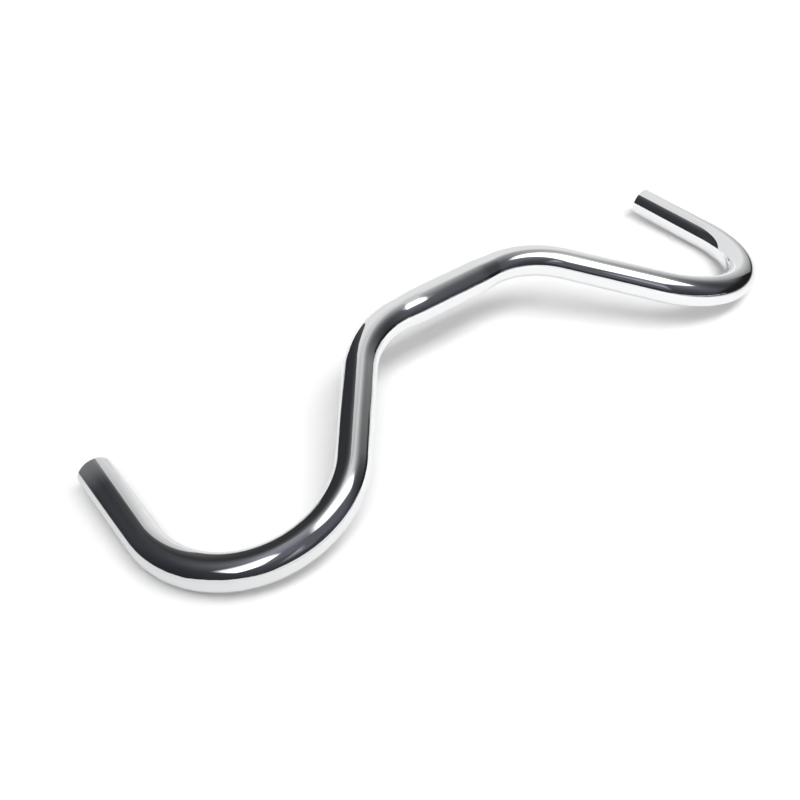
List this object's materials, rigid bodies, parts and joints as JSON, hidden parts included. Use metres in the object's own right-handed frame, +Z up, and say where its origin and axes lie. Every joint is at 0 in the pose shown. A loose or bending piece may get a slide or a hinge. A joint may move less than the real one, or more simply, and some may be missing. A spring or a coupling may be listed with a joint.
{
  "type": "moustache handlebar",
  "caption": "Bent bicycle handlebar: raised middle with a swollen stem seat, arms sweeping forward and down into wide hooks that turn back to straight grips with open ends.",
  "frame": {"origin": "middle of the stem seat, on the clamp's axis", "axes": "+X along the clamp's axis towards the rider's right hand, +Y the way the hooks reach, +Z up as the bar lies at rest"},
  "size_m": [0.5698, 0.1566, 0.0689],
  "materials": {
    "polished_aluminium": "mirror polished"
  },
  "bodies": {
    "root": {"handlebar": "polished_aluminium"}
  },
  "joints": []
}
